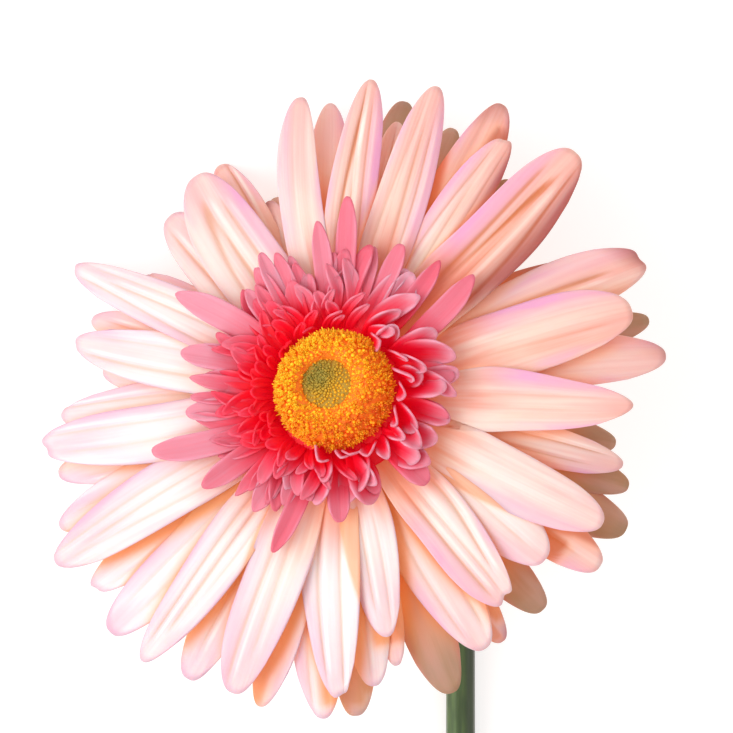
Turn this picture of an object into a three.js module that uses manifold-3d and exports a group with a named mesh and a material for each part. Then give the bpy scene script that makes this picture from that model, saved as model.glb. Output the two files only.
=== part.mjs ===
// A cut gerbera daisy, one double bloom on its stem, lying on a table with its face turned up.
// Millimetres, +Z up. The stem lies along -Y, and its bent neck and the lower ray tips carry the head.
// Everything in the head is placed by a radius from the head's axis, an angle and a height along it.

import * as THREE from 'three';
import { mergeVertices } from 'three/addons/utils/BufferGeometryUtils.js';
import Module from 'manifold-3d';

const wasm = await Module();
wasm.setup();

// Pose: where the head is and how far its face leans from straight up
const HEAD_CENTRE = new THREE.Vector3(-2.336, 122.575, 32.5);
const HEAD_LEAN = 28;
const LEAN_HEADING = 135;

// The face is looked at from a lesser lean, at which each ray is where its angle and radius say
const VIEW_LEAN = 13;

const CLEARANCE = 0.3;
const SLIVER = 0.06;
const CORE_SEGMENTS = 18;

// Stem: its route is given from the head's centre in plan, and its underside lies on the table
const NECK_RADIUS = 2.9;
const STEM_RADIUS = 2.7;
const CUT_END_RADIUS = 3.3;
const TOUCHDOWN = { x: 27.4, y: -46 };
const CUT_END = { x: 24, y: -300 };
const NECK_REACH = 14;
const LANDING_REACH = 18;
const STEM_SIDES = 12;

// Green base of the head
const INVOLUCRE_DEPTH = 16;
const INVOLUCRE_RADIUS = 14.2;
const CUP_FOOT_RADIUS = 3.3;
const CUP_RIM = -3.4;
const BRACT_ROWS = [
  { count: 14, foot: -12.5, tip: -5.2, width: 3.4, turn: 0 },
  { count: 14, foot: -9.0, tip: -3.9, width: 3.2, turn: 0.5 },
];

// Ray florets: the pale outer blades
const RAY_ROOT = 10;
const RAY_THICKNESS = 0.7;
const RAY_CORE = { inner: 7.4, outer: 13.4, under: -1.3, top: 1.4 };
const RAY_CEILING = 1.9;
const PLEAT_DEPTH = 0.28;
const GUTTER_DEPTH = 0.55;
const RAY_ROOT_SHARE = 0.55;
const RAY_TIP_SHARE = 0.26;
const RAY_STATIONS = [0, 0.3, 0.58, 0.8, 0.94, 1];
const PLEATED = [-1, -0.5, 0, 0.5, 1];
const PLAIN = [-1, 0, 1];

// height is at the root, rise and fall are slopes that bow the blade up and then down to its tip
const FRONT = { height: 0.6, rise: 0.1, fall: 0.13, across: PLEATED };
const MIDDLE = { height: -0.1, rise: 0.03, fall: 0.16, across: PLAIN };
const BACK = { height: -0.75, rise: -0.04, fall: 0.2, across: PLAIN };

// How much further the blades on the leaning side hang, down to the table
const LOW_SIDE_SAG = 0.14;

// Each ray floret as it looks from VIEW_LEAN: angle from the face's right, radius of its tip, width,
// bluntness, how far it bows sideways, layer
const RAYS = [
  [97.9, 54.8, 7.4, 2.2, 2.8, FRONT],
  [84.6, 57.9, 8.9, 2.3, 1.3, FRONT],
  [72.7, 58.8, 9, 2.1, 0.3, FRONT],
  [57, 55.4, 8.8, 2.5, 0.5, FRONT],
  [46, 60.9, 12.2, 2.5, -0.3, FRONT],
  [16.4, 54.6, 12.2, 2.3, 0.8, FRONT],
  [358.2, 52.2, 11.8, 1.8, 0, FRONT],
  [334.1, 51.8, 10.8, 2.5, 0, FRONT],
  [308.8, 47.2, 10.6, 2.6, 0, FRONT],
  [281, 43.7, 9, 2.2, 0.2, FRONT],
  [269.6, 54.2, 10.8, 2, -1.6, FRONT],
  [250, 56.6, 10.6, 2.6, -0.4, FRONT],
  [233.2, 59.6, 9.4, 2.2, -0.2, FRONT],
  [210.2, 59.9, 10.8, 2.4, -0.8, FRONT],
  [189.8, 55.4, 10.4, 2.6, 0.7, FRONT],
  [168.8, 49.8, 10.6, 2.2, -0.3, FRONT],
  [154.4, 54.5, 8.8, 2.3, -0.5, FRONT],
  [123.6, 48.2, 13.4, 2.6, 0.9, FRONT],
  [92, 53.6, 7.8, 2.1, 0.3, MIDDLE],
  [78.4, 51, 7.4, 2.4, 0, MIDDLE],
  [61, 60.6, 11.2, 2.4, -1.1, MIDDLE],
  [24.1, 60.3, 11, 2.4, 1.2, MIDDLE],
  [7.2, 58.8, 10.2, 2.5, 1.2, MIDDLE],
  [346.3, 52, 8.2, 2.3, 0, MIDDLE],
  [326.8, 55.4, 9.6, 2.8, 0, MIDDLE],
  [321.4, 46.4, 9.6, 2.7, 0.3, MIDDLE],
  [303.4, 52.6, 7.8, 2.6, 0, MIDDLE],
  [299.6, 52, 11, 2.5, -0.6, MIDDLE],
  [281.8, 49.3, 6, 2.5, 0, MIDDLE],
  [276.6, 52.3, 8.6, 2.6, 0, MIDDLE],
  [266.8, 58, 10.6, 2.3, -1.7, MIDDLE],
  [255.4, 57.7, 8.8, 2.3, 0, MIDDLE],
  [241.6, 58.1, 8.8, 2.8, -0.8, MIDDLE],
  [225.8, 59.9, 9.8, 2.8, 0, MIDDLE],
  [217.8, 57.3, 9.2, 2.4, 0, MIDDLE],
  [205, 56.6, 9.8, 2.3, -0.3, MIDDLE],
  [195.6, 53.6, 8.6, 2.5, 0, MIDDLE],
  [184.2, 51.4, 10.8, 2.1, 0, MIDDLE],
  [163.2, 47.9, 8.8, 2.3, 0, MIDDLE],
  [134, 45.6, 11, 2.6, 0.3, MIDDLE],
  [118, 48.2, 8.8, 2.5, 0, MIDDLE],
  [110.6, 37.9, 7, 2.3, 0.4, MIDDLE],
  [77.8, 55.2, 8.6, 2.7, 0, BACK],
  [67.2, 53, 7.8, 2.6, 0, BACK],
  [51.6, 49.8, 7.6, 2.6, 0, BACK],
  [28, 55.2, 11.4, 2.4, 0.6, BACK],
  [13.9, 57.3, 8, 2.5, 0, BACK],
  [350.2, 50.2, 8.6, 2.4, 0, BACK],
  [342.4, 54.2, 8, 2.7, 0, BACK],
  [335, 56.6, 9.8, 2.8, 0, BACK],
  [313.4, 52.8, 8.8, 2.8, 0, BACK],
  [290.6, 57, 10.4, 2.6, 0, BACK],
  [272.6, 57.7, 8.6, 2.8, 0, BACK],
  [238, 50, 7.6, 2.6, 0, BACK],
  [174, 44, 7.8, 2.6, 0, BACK],
  [149, 46.7, 9.8, 2.3, 0, BACK],
  [108.6, 38.2, 7.2, 2.5, 0, BACK],
];

// Inner florets: the rose tongues between the rays and the disc
const INNER_ROOT = 12.1;
const INNER_CORE = { inner: 6.8, outer: 13, under: 2.2, top: 3.9 };
const INNER_FLOOR = RAY_CEILING + CLEARANCE;
const INNER_THICKNESS = 0.9;
const INNER_HEIGHT = 3.1;
const LONG_BOW = { lift: 4.2, droop: 3.4 };
const SHORT_DROOP = 2.2;
const SHORT_SPREAD = { turn: 0.25, tip: 1.6, width: 0.25, twist: 10 };
const INNER_SEED = 11;
const SHORT_ROWS = [
  { count: 20, tip: 15.8, top: 8.2, width: 2.6 },
  { count: 20, tip: 19, top: 6.4, width: 3 },
  { count: 20, tip: 22.6, top: 4.4, width: 3.3 },
];

// Each long inner floret: angle, radius of its tip, width
const LONG_INNERS = [
  [13, 20.8, 4.6],
  [40.9, 32.3, 4.4],
  [54.5, 30.2, 3.3],
  [66.9, 29.4, 3.6],
  [86.7, 36, 3.8],
  [96.4, 31.8, 3.5],
  [108.7, 25.4, 3.3],
  [115, 28.4, 3.2],
  [121.3, 29.6, 3],
  [132, 25.8, 3.6],
  [146.4, 35.3, 5],
  [166, 30, 4.8],
  [173, 25.4, 4.2],
  [186.3, 28.1, 4.2],
  [195.4, 35.5, 4.8],
  [214, 29.8, 4.3],
  [232, 26, 4.3],
  [245.8, 30.5, 3.5],
  [270.4, 22.4, 4],
  [290, 18.4, 3.4],
  [315, 22, 4.6],
  [348, 19.6, 4],
];

// Disc: a raised ring of tight yellow florets round a dimple of green buds
const DISC_UNDER = 4.3;
const DISC_HOLLOW = 6.9;
const DISC_RADIUS = 11;
const HOLLOW_SHIFT = { x: -2, y: 1.6 };
const DISC_KNOBS = 26;
const DISC_RELIEF = 0.32;
const CENTRE_KNOBS = 12;
const CENTRE_RELIEF = 0.16;

const COLOURS = {
  ray: 0xf6dccb,
  inner: 0xe9708c,
  disc: 0xf2ab12,
  bud: 0x8f8426,
  green: 0x5c7432,
  stem: 0x56702f,
};

const radians = THREE.MathUtils.degToRad;
const mix = THREE.MathUtils.lerp;

// Repeatable random numbers from 0 to 1
function seeded(seed) {
  let state = seed;
  return () => {
    state = (state * 1664525 + 1013904223) >>> 0;
    return state / 4294967296;
  };
}

const head = new THREE.Group();
const heading = radians(LEAN_HEADING);
const lean = radians(HEAD_LEAN);
const headAxis = new THREE.Vector3(
  Math.sin(lean) * Math.cos(heading),
  Math.sin(lean) * Math.sin(heading),
  Math.cos(lean),
);
head.position.copy(HEAD_CENTRE);
head.quaternion.setFromUnitVectors(new THREE.Vector3(0, 0, 1), headAxis);
head.updateMatrixWorld();

// A point in the head from its radius, a sideways step, the height and the angle it is turned to
function headPoint(radius, side, height, degrees) {
  const angle = radians(degrees);
  return new THREE.Vector3(
    radius * Math.cos(angle) - side * Math.sin(angle),
    radius * Math.sin(angle) + side * Math.cos(angle),
    height,
  );
}

const leaning = (degrees) => new THREE.Vector3(
  Math.sin(radians(degrees)) * Math.cos(heading),
  Math.sin(radians(degrees)) * Math.sin(heading),
  Math.cos(radians(degrees)),
);
const view = leaning(VIEW_LEAN);
const viewRight = new THREE.Vector3(0, 1, 0).cross(view).normalize();
const viewUp = view.clone().cross(viewRight);
const inHead = head.quaternion.clone().invert();
const [right, up] = [viewRight, viewUp].map((direction) => direction.applyQuaternion(inHead));

// Slides a point along the face until it looks, from VIEW_LEAN, to be where it is in plan
function asSeen(point) {
  const x = point.x - right.z * point.z;
  const y = point.y - up.z * point.z;
  const spread = right.x * up.y - right.y * up.x;
  return point.set((x * up.y - right.y * y) / spread, (right.x * y - up.x * x) / spread, point.z);
}

// What would sink below the table lies flat on it instead
function layOnTable(point, lift) {
  head.localToWorld(point);
  point.z = Math.max(point.z, lift);
  return head.worldToLocal(point);
}

function geometryOf(points, triangles) {
  const geometry = new THREE.BufferGeometry();
  const flat = points.flatMap((point) => [point.x, point.y, point.z]);
  geometry.setAttribute('position', new THREE.Float32BufferAttribute(flat, 3));
  geometry.setIndex(triangles);
  return geometry;
}

// A closed body through rings of points, each ring the same count and turning the same way.
// splitsBack says which of its four-sided faces are split along their other diagonal.
function loft(rings, splitsBack = () => false) {
  const sides = rings[0].length;
  const last = (rings.length - 1) * sides;
  const triangles = [];
  for (let ring = 0; ring < rings.length - 1; ring += 1) {
    for (let side = 0; side < sides; side += 1) {
      const a = ring * sides + side;
      const b = ring * sides + ((side + 1) % sides);
      if (splitsBack(ring, side)) {
        triangles.push(a, b, a + sides, b, b + sides, a + sides);
      } else {
        triangles.push(a, b, b + sides, a, b + sides, a + sides);
      }
    }
  }
  for (let side = 1; side < sides - 1; side += 1) {
    triangles.push(0, side + 1, side);
    triangles.push(last, last + side, last + side + 1);
  }
  return geometryOf(rings.flat(), triangles);
}

// A closed blade: rows of points from root to tip, each with a top and an underside across it
function blade(tops, undersides) {
  const across = tops[0].length;
  const points = [...tops.flat(), ...undersides.flat()];
  const below = tops.length * across;
  const triangles = [];
  const quad = (a, b, c, d) => triangles.push(a, b, c, a, c, d);
  for (let row = 0; row < tops.length - 1; row += 1) {
    const here = row * across;
    const next = here + across;
    for (let step = 0; step < across - 1; step += 1) {
      const a = here + step;
      const b = next + step;
      triangles.push(a, b, b + 1, a, b + 1, a + 1);
      triangles.push(a + below, b + 1 + below, b + below, a + below, a + 1 + below, b + 1 + below);
    }
    quad(here, here + below, next + below, next);
    const far = across - 1;
    quad(here + far, next + far, next + far + below, here + far + below);
  }
  const end = (tops.length - 1) * across;
  for (let step = 0; step < across - 1; step += 1) {
    quad(step, step + 1, step + 1 + below, step + below);
    quad(end + step, end + step + below, end + step + 1 + below, end + step + 1);
  }
  return geometryOf(points, triangles);
}

// A body turned about the head's axis from its outline of [radius, height] points
function turned(outline, segments) {
  const profile = outline.map(([radius, height]) => new THREE.Vector2(radius, height));
  const geometry = new THREE.LatheGeometry(profile, segments);
  geometry.rotateX(Math.PI / 2);
  return geometry;
}

// A ring of rectangular section round the head's axis
function ringCore({ inner, outer, under, top }, segments) {
  const outline = [[inner, under], [outer, under], [outer, top], [inner, top], [inner, under]];
  return turned(outline, segments);
}

function solidOf(geometry) {
  const bare = geometry.clone();
  bare.deleteAttribute('normal');
  bare.deleteAttribute('uv');
  const merged = mergeVertices(bare, 1e-4);
  const solid = new wasm.Manifold(new wasm.Mesh({
    numProp: 3,
    vertProperties: new Float32Array(merged.attributes.position.array),
    triVerts: new Uint32Array(merged.index.array),
  }));
  return solid;
}

// Joins bodies into one, takes out slivers, and fills any hollow by keeping the outer skin alone
function fused(geometries) {
  const joined = geometries.map(solidOf).reduce((sum, solid) => sum.add(solid)).simplify(SLIVER);
  const skins = joined.decompose().sort((a, b) => b.volume() - a.volume());
  const { vertProperties, triVerts } = skins[0].getMesh();
  const geometry = new THREE.BufferGeometry();
  geometry.setAttribute('position', new THREE.Float32BufferAttribute(vertProperties, 3));
  geometry.setIndex(Array.from(triVerts));
  return geometry;
}

function piece(name, geometry, color, roughness) {
  const material = new THREE.MeshStandardMaterial({ color, roughness, metalness: 0 });
  const mesh = new THREE.Mesh(geometry, material);
  mesh.name = name;
  return mesh;
}

// Half the blade's width, as a share of its widest, from the root at 0 to the tip at 1
function rayOutline(along, blunt) {
  const swell = mix(RAY_ROOT_SHARE, 1, THREE.MathUtils.smoothstep(along, 0, 0.42));
  const start = 0.5 + 0.25 * (blunt - 2.4);
  const rounding = THREE.MathUtils.clamp((along - start) / (1 - start), 0, 1);
  return swell * Math.max(RAY_TIP_SHARE, Math.sqrt(1 - rounding ** (blunt - 0.3)));
}

function rayBlade([angle, tip, width, blunt, bowed, layer]) {
  const length = tip - RAY_ROOT;
  const sag = LOW_SIDE_SAG * Math.max(0, Math.cos(radians(angle - LEAN_HEADING))) ** 2;
  const surface = (shift) => RAY_STATIONS.map((along) => layer.across.map((side) => {
    const radius = mix(RAY_ROOT, tip, along);
    const middle = bowed * 4 * along * (1 - along);
    const half = (width / 2) * rayOutline(along, blunt);
    const bow = length * (layer.rise * along - (layer.fall + sag) * along ** 2);
    const free = THREE.MathUtils.smoothstep(along, 0.05, 0.4);
    const ribs = PLEAT_DEPTH * Math.cos(2 * Math.PI * side) + GUTTER_DEPTH * side ** 2;
    const height = Math.min(layer.height + bow + free * ribs + shift, RAY_CEILING);
    const point = asSeen(headPoint(radius, middle + side * half, height, angle));
    return layOnTable(point, shift > 0 ? RAY_THICKNESS : 0);
  }));
  return blade(surface(RAY_THICKNESS / 2), surface(-RAY_THICKNESS / 2));
}

function rayFlorets() {
  return fused([ringCore(RAY_CORE, CORE_SEGMENTS), ...RAYS.map(rayBlade)]);
}

// A slim tongue of lens section that rises from the disc's foot, bends outwards and thins to its tip
function tongue({ angle, tip, width, lift, droop, twist }) {
  const stations = [0, 0.4, 0.75, 1];
  const girth = [0.55, 0.85, 1, 0.42];
  const thickness = [1, 0.9, 0.75, 0.6];
  return loft(stations.map((along, index) => {
    const radius = mix(INNER_ROOT, tip, along);
    const height = INNER_HEIGHT + lift * along - droop * along ** 2;
    const slope = Math.atan2(lift - 2 * droop * along, tip - INNER_ROOT);
    const half = (width / 2) * girth[index];
    const deep = (INNER_THICKNESS / 2) * thickness[index];
    const out = deep * Math.sin(slope);
    const up = deep * Math.cos(slope);
    const turn = angle + twist * along;
    return [
      headPoint(radius, -half, height, turn),
      headPoint(radius + out, 0, height - up, turn),
      headPoint(radius, half, height, turn),
      headPoint(radius - out, 0, height + up, turn),
    ].map((point) => {
      point.setZ(Math.max(point.z, INNER_FLOOR + (point.z > height ? deep : 0)));
      return point.lerp(asSeen(point.clone()), along);
    });
  }));
}

function longTongue([angle, tip, width]) {
  return tongue({ angle, tip, width, ...LONG_BOW, twist: 0 });
}

function shortTongues(random) {
  return SHORT_ROWS.flatMap(({ count, tip, top, width }, row) => (
    Array.from({ length: count }, (_, index) => tongue({
      angle: ((index + row / SHORT_ROWS.length + SHORT_SPREAD.turn * (random() - 0.5)) * 360) / count,
      tip: tip + SHORT_SPREAD.tip * (random() - 0.5),
      width: width * (1 + SHORT_SPREAD.width * (random() - 0.4)),
      lift: top - INNER_HEIGHT + SHORT_DROOP,
      droop: SHORT_DROOP,
      twist: SHORT_SPREAD.twist * (random() - 0.5),
    }))
  ));
}

function innerFlorets() {
  const random = seeded(INNER_SEED);
  const tongues = [...shortTongues(random), ...LONG_INNERS.map(longTongue)];
  return fused([ringCore(INNER_CORE, CORE_SEGMENTS), ...tongues]);
}

// A point on the disc, whose hollow lies a little off its middle
function discPoint(radius, height, angle) {
  const inwards = Math.max(0, 1 - radius / DISC_RADIUS);
  const point = headPoint(radius, 0, height, angle);
  point.x += HOLLOW_SHIFT.x * inwards;
  point.y += HOLLOW_SHIFT.y * inwards;
  return point;
}

// A turned body whose rows from first to last rise in staggered knobs, like buds set close together
function knobbed(outline, knobs, relief, [first, last]) {
  const columns = knobs * 2;
  const isRaised = (row, column) => (row + column) % 2 === 0;
  const rings = outline.map(([radius, height], row) => (
    Array.from({ length: columns }, (_, column) => {
      const angle = (column * 360) / columns;
      if (row < first || row > last) {
        return discPoint(radius, height, angle);
      }
      const [lowRadius, lowHeight] = outline[row - 1];
      const [highRadius, highHeight] = outline[row + 1];
      const run = Math.hypot(highRadius - lowRadius, highHeight - lowHeight);
      const step = isRaised(row, column) ? relief : -relief;
      const outward = (step * (highHeight - lowHeight)) / run;
      const upward = (step * (lowRadius - highRadius)) / run;
      return discPoint(radius + outward, height + upward, angle);
    })
  ));
  return loft(rings, isRaised);
}

function discFlorets() {
  const outline = [
    [9.4, DISC_UNDER], [10.4, 5.2], [DISC_RADIUS, 6.3], [10.9, 7.4], [10.3, 8.4], [9.3, 9.2],
    [8.1, 9.6], [6.9, 9.5], [5.8, 9], [4.9, 8.3], [4.4, 7.5], [4.3, DISC_HOLLOW],
  ];
  return knobbed(outline, DISC_KNOBS, DISC_RELIEF, [1, 9]);
}

function discCentre() {
  const outline = [[3.8, DISC_HOLLOW + CLEARANCE], [3.9, 7.7], [3, 8.1], [2, 8.4], [1, 8.5], [0.4, 8.5]];
  return knobbed(outline, CENTRE_KNOBS, CENTRE_RELIEF, [2, 4]);
}

// One narrow pointed scale, pressed to the cup with its tip just free
function bract(angle, { foot, tip, width }) {
  const stations = [0, 0.45, 1];
  const girth = [0.5, 1, 0.16];
  return loft(stations.map((along, index) => {
    const height = mix(foot, tip, along);
    const radius = cupRadius(height) + 0.25 + 0.9 * along ** 3;
    const half = (width / 2) * girth[index];
    return [
      headPoint(radius - 0.9, -half, height, angle),
      headPoint(radius - 0.9, half, height, angle),
      headPoint(radius + 0.5, 0, height, angle),
    ].reverse();
  }));
}

// The cup's outer radius at a height along the head's axis
function cupRadius(height) {
  const share = THREE.MathUtils.clamp((height + INVOLUCRE_DEPTH) / (INVOLUCRE_DEPTH + CUP_RIM), 0, 1);
  return mix(CUP_FOOT_RADIUS, INVOLUCRE_RADIUS, Math.sin((share * Math.PI) / 2) ** 0.9);
}

// Cup, scales and the receptacle that the florets stand round
function involucre() {
  const levels = [-INVOLUCRE_DEPTH, -14.6, -12.6, -10, -7, CUP_RIM - 1, CUP_RIM];
  const wall = levels.map((height) => [cupRadius(height), height]);
  const top = RAY_CORE.under - CLEARANCE;
  const post = RAY_CORE.inner - CLEARANCE;
  const neck = INNER_CORE.inner - CLEARANCE;
  const shoulder = INNER_CORE.under - CLEARANCE * 2;
  const crown = DISC_UNDER - CLEARANCE;
  const outline = [
    [0, -INVOLUCRE_DEPTH], ...wall, [INVOLUCRE_RADIUS, CUP_RIM + 0.4], [11, top], [post, top],
    [post, shoulder], [neck, shoulder], [neck, crown], [0, crown],
  ];
  const scales = BRACT_ROWS.flatMap((row) => (
    Array.from({ length: row.count }, (_, index) => bract(((index + row.turn) * 360) / row.count, row))
  ));
  return fused([turned(outline, CORE_SEGMENTS), ...scales]);
}

// The stem's centre line: down out of the involucre, round the neck, then along the table
function stemRoute() {
  const start = HEAD_CENTRE.clone().addScaledVector(headAxis, -INVOLUCRE_DEPTH - CLEARANCE);
  const flat = Math.cos(Math.PI / STEM_SIDES);
  const { x, y } = HEAD_CENTRE;
  const land = new THREE.Vector3(x + TOUCHDOWN.x, y + TOUCHDOWN.y, STEM_RADIUS * flat);
  const end = new THREE.Vector3(x + CUT_END.x, y + CUT_END.y, CUT_END_RADIUS * flat);
  const neck = new THREE.CubicBezierCurve3(
    start,
    start.clone().addScaledVector(headAxis, -NECK_REACH),
    land.clone().add(new THREE.Vector3(0, LANDING_REACH, 0)),
    land,
  );
  const third = (land.y - end.y) / 3;
  const run = new THREE.CubicBezierCurve3(
    land,
    new THREE.Vector3(land.x, land.y - third, 0),
    new THREE.Vector3(end.x + 5, end.y + third, 0),
    end,
  );
  return { neck, run, flat };
}

// A twelve-sided ring square to the route, with a flat side turned down
function stemRing(point, tangent, radius) {
  const across = new THREE.Vector3(0, 0, 1).cross(tangent).normalize();
  const up = tangent.clone().cross(across).normalize();
  return Array.from({ length: STEM_SIDES }, (_, side) => {
    const angle = ((side + 0.5) * 2 * Math.PI) / STEM_SIDES;
    return point.clone()
      .addScaledVector(across, radius * Math.cos(angle))
      .addScaledVector(up, radius * Math.sin(angle));
  });
}

function stem() {
  const { neck, run, flat } = stemRoute();
  const neckSteps = 11;
  const runSteps = 10;
  const rings = [];
  for (let step = 0; step < neckSteps; step += 1) {
    const along = step / neckSteps;
    const radius = mix(NECK_RADIUS, STEM_RADIUS, along);
    rings.push(stemRing(neck.getPoint(along), neck.getTangent(along), radius));
  }
  for (let step = 0; step <= runSteps; step += 1) {
    const along = step / runSteps;
    const radius = mix(STEM_RADIUS, CUT_END_RADIUS, along);
    const point = run.getPoint(along).setZ(radius * flat);
    rings.push(stemRing(point, run.getTangent(along).setZ(0).normalize(), radius));
  }
  return loft(rings);
}

head.add(
  piece('involucre', involucre(), COLOURS.green, 0.7),
  piece('ray_florets', rayFlorets(), COLOURS.ray, 0.55),
  piece('inner_florets', innerFlorets(), COLOURS.inner, 0.5),
  piece('disc_florets', discFlorets(), COLOURS.disc, 0.7),
  piece('disc_centre', discCentre(), COLOURS.bud, 0.75),
);

const group = new THREE.Group();
group.add(head, piece('stem', stem(), COLOURS.stem, 0.6));

export default group;
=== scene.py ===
"""A cut gerbera lying face up on a pale table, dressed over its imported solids. Metres, +Z up."""

import math
import random

import bmesh
import bpy
import numpy as np
from mathutils import Matrix, Vector


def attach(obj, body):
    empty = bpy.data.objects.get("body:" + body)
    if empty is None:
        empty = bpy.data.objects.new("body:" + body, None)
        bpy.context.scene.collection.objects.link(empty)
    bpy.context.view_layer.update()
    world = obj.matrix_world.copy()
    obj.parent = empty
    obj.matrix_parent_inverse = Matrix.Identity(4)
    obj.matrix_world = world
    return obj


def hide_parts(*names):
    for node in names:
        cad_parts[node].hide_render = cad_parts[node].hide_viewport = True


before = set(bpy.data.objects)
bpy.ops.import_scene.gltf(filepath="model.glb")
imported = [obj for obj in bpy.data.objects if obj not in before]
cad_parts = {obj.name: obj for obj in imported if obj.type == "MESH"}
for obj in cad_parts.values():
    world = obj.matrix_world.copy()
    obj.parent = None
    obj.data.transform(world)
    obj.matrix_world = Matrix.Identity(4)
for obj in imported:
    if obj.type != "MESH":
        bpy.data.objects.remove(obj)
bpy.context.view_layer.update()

MM = 0.001

# Pose of the head: the same centre, lean and heading as the solids, in millimetres and degrees
HEAD_CENTRE = Vector((-2.336, 122.575, 32.5))
HEAD_LEAN = 28
LEAN_HEADING = 135

# Ray florets
RAY_ROOT = 10
RAY_THICKNESS = 0.45
RAY_ROOT_SHARE = 0.66
RAY_CAP = 0.15
LOW_SIDE_SAG = 0.14
STAGGER = 0.24
RAY_SEED = 7

# How rays differ, from least to most: arch across, rolled edge, wave along the edges, twist, share of
# the layer's droop, hood
ARCH = (-0.6, 0.5)
ROLL = (0, 1.3)
WAVE = (0, 0.45)
TWIST = (0, 0.11)
DROOP = (-0.4, 1.6)
HOOD = 0.7

# A layer's root height, the slopes that bow its blades up and then down, how far its tips hang, painted
# shadow on rays that lie under others
FRONT = {"height": 0.85, "rise": 0.1, "fall": 0.13, "droop": 0.5, "under_shadow": 0}
MIDDLE = {"height": -0.1, "rise": 0.03, "fall": 0.16, "droop": 0.7, "under_shadow": 0.08}
BACK = {"height": -0.95, "rise": -0.04, "fall": 0.2, "droop": 0.3, "under_shadow": 1}

# Each ray floret as the camera sees it: angle from the face's right, radius of its tip, width,
# folds, bluntness, how far it bows sideways
FRONT_RAYS = [
    (97.9, 55, 7.6, 0, 2.7, 2.6), (84.6, 57.9, 8.9, 3, 2.3, 1.3), (72.7, 58.8, 9.4, 3, 2.3, 0.3),
    (57, 55.4, 8.8, 3, 2.5, 0.5), (45.8, 60.9, 12.4, 4, 2.7, -0.2), (16.4, 54.3, 12.4, 2, 2.7, 0.8),
    (358.2, 52.2, 11.8, 2, 1.8, 0), (334.1, 51.8, 10.8, 2, 2.5, 0), (321.4, 46.6, 11, 1, 2.7, 0.3),
    (308.8, 47.2, 10.6, 3, 2.6, 0), (281, 43.7, 9, 2, 2.2, 0.2), (269.6, 54.2, 10.8, 2, 2, -1.6),
    (250, 56.6, 10.6, 2, 2.6, -0.4), (233.2, 59.6, 9.4, 3, 2.2, -0.2), (210.2, 59.9, 10.8, 3, 2.4, -0.8),
    (189.8, 55.4, 10.4, 2, 2.6, 0.7), (168.8, 49.8, 10.6, 2, 2.2, -0.3), (154.4, 54.5, 8.8, 3, 2.3, -0.5),
    (123.6, 48.2, 13.4, 3, 2.6, 0.9),
]
MIDDLE_RAYS = [
    (92.2, 53.6, 9.4, 0, 2.2, 0.6), (78.4, 51, 7.4, 1, 2.4, 0), (61, 60.6, 11.2, 2, 2.4, -1.1),
    (24.1, 60, 11, 1, 2.8, 1), (7.2, 58.8, 10.2, 0, 2.5, 1.2), (346.3, 52, 8.2, 2, 2.3, 0),
    (326.8, 55.4, 9.6, 1, 2.8, 0), (303.4, 52.6, 7.8, 1, 2.6, 0), (299.6, 52, 11, 2, 2.5, -0.6),
    (281.8, 49.3, 6, 1, 2.5, 0), (276.6, 52.3, 8.6, 1, 2.6, 0), (266.8, 58, 10.6, 2, 2.3, -1.7),
    (255.4, 57.7, 8.8, 1, 2.3, 0), (241.6, 58.1, 8.8, 1, 2.8, -0.8), (225.8, 59.9, 9.8, 2, 2.8, 0),
    (217.8, 57.3, 9.2, 2, 2.4, 0), (205, 56.6, 9.8, 2, 2.3, -0.3), (195.6, 53.6, 8.6, 2, 2.5, 0),
    (184.2, 51.4, 10.8, 2, 2.1, 0), (163.2, 47.9, 8.8, 1, 2.3, 0), (134, 45.6, 11, 2, 2.6, 0.3),
    (118, 48.2, 8.8, 2, 2.5, 0), (110.6, 37.9, 7, 1, 2.3, 0.4),
]
BACK_RAYS = [
    (77.8, 55.2, 8.6, 0, 2.7, 0), (67.2, 53, 7.8, 0, 2.6, 0), (51.6, 49.8, 7.6, 0, 2.6, 0),
    (26.8, 52.6, 10.4, 0, 2.4, 0.8), (13.9, 57.3, 8, 0, 2.5, 0), (350.2, 50.2, 8.6, 0, 2.4, 0),
    (342.4, 54.2, 8, 0, 2.7, 0), (335, 56.6, 9.8, 0, 2.8, 0), (313.4, 52.8, 8.8, 0, 2.8, 0),
    (290.6, 57, 10.4, 0, 2.6, 0), (272.6, 57.7, 8.6, 0, 2.8, 0), (238, 50, 7.6, 1, 2.6, 0),
    (174, 44, 7.8, 1, 2.6, 0), (150.4, 43.4, 9, 1, 2.3, 0), (108.6, 38.2, 7.2, 0, 2.5, 0),
]

# Rays with a notch in the tip: angle and depth
NOTCHES = {308.8: 1.3, 269.6: 0.8, 189.8: 1, 57: 0.6, 24.1: 0.8, 217.8: 0.7, 154.4: 0.4, 168.8: 0.4}

# Rays whose height doesn't alternate with their neighbours'
LIFTS = {334.1: STAGGER, 321.4: -0.35, 308.8: STAGGER, 303.4: -0.85, 299.6: STAGGER}
LIFTS |= {168.8: -STAGGER, 154.4: STAGGER}

# Rays whose lilac edge is the one turned away from the next smaller angle
LILAC_BEHIND = (97.9, 118, 154.4)

# Rays with a tip painted dusky as shade, and how strongly
SHADED_TIPS = {24.1: 0.75, 110.6: 0.9, 61: 0.6, 7.2: 0.35, 303.4: 0.6, 77.8: 0.3, 134: 0.15}

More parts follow.
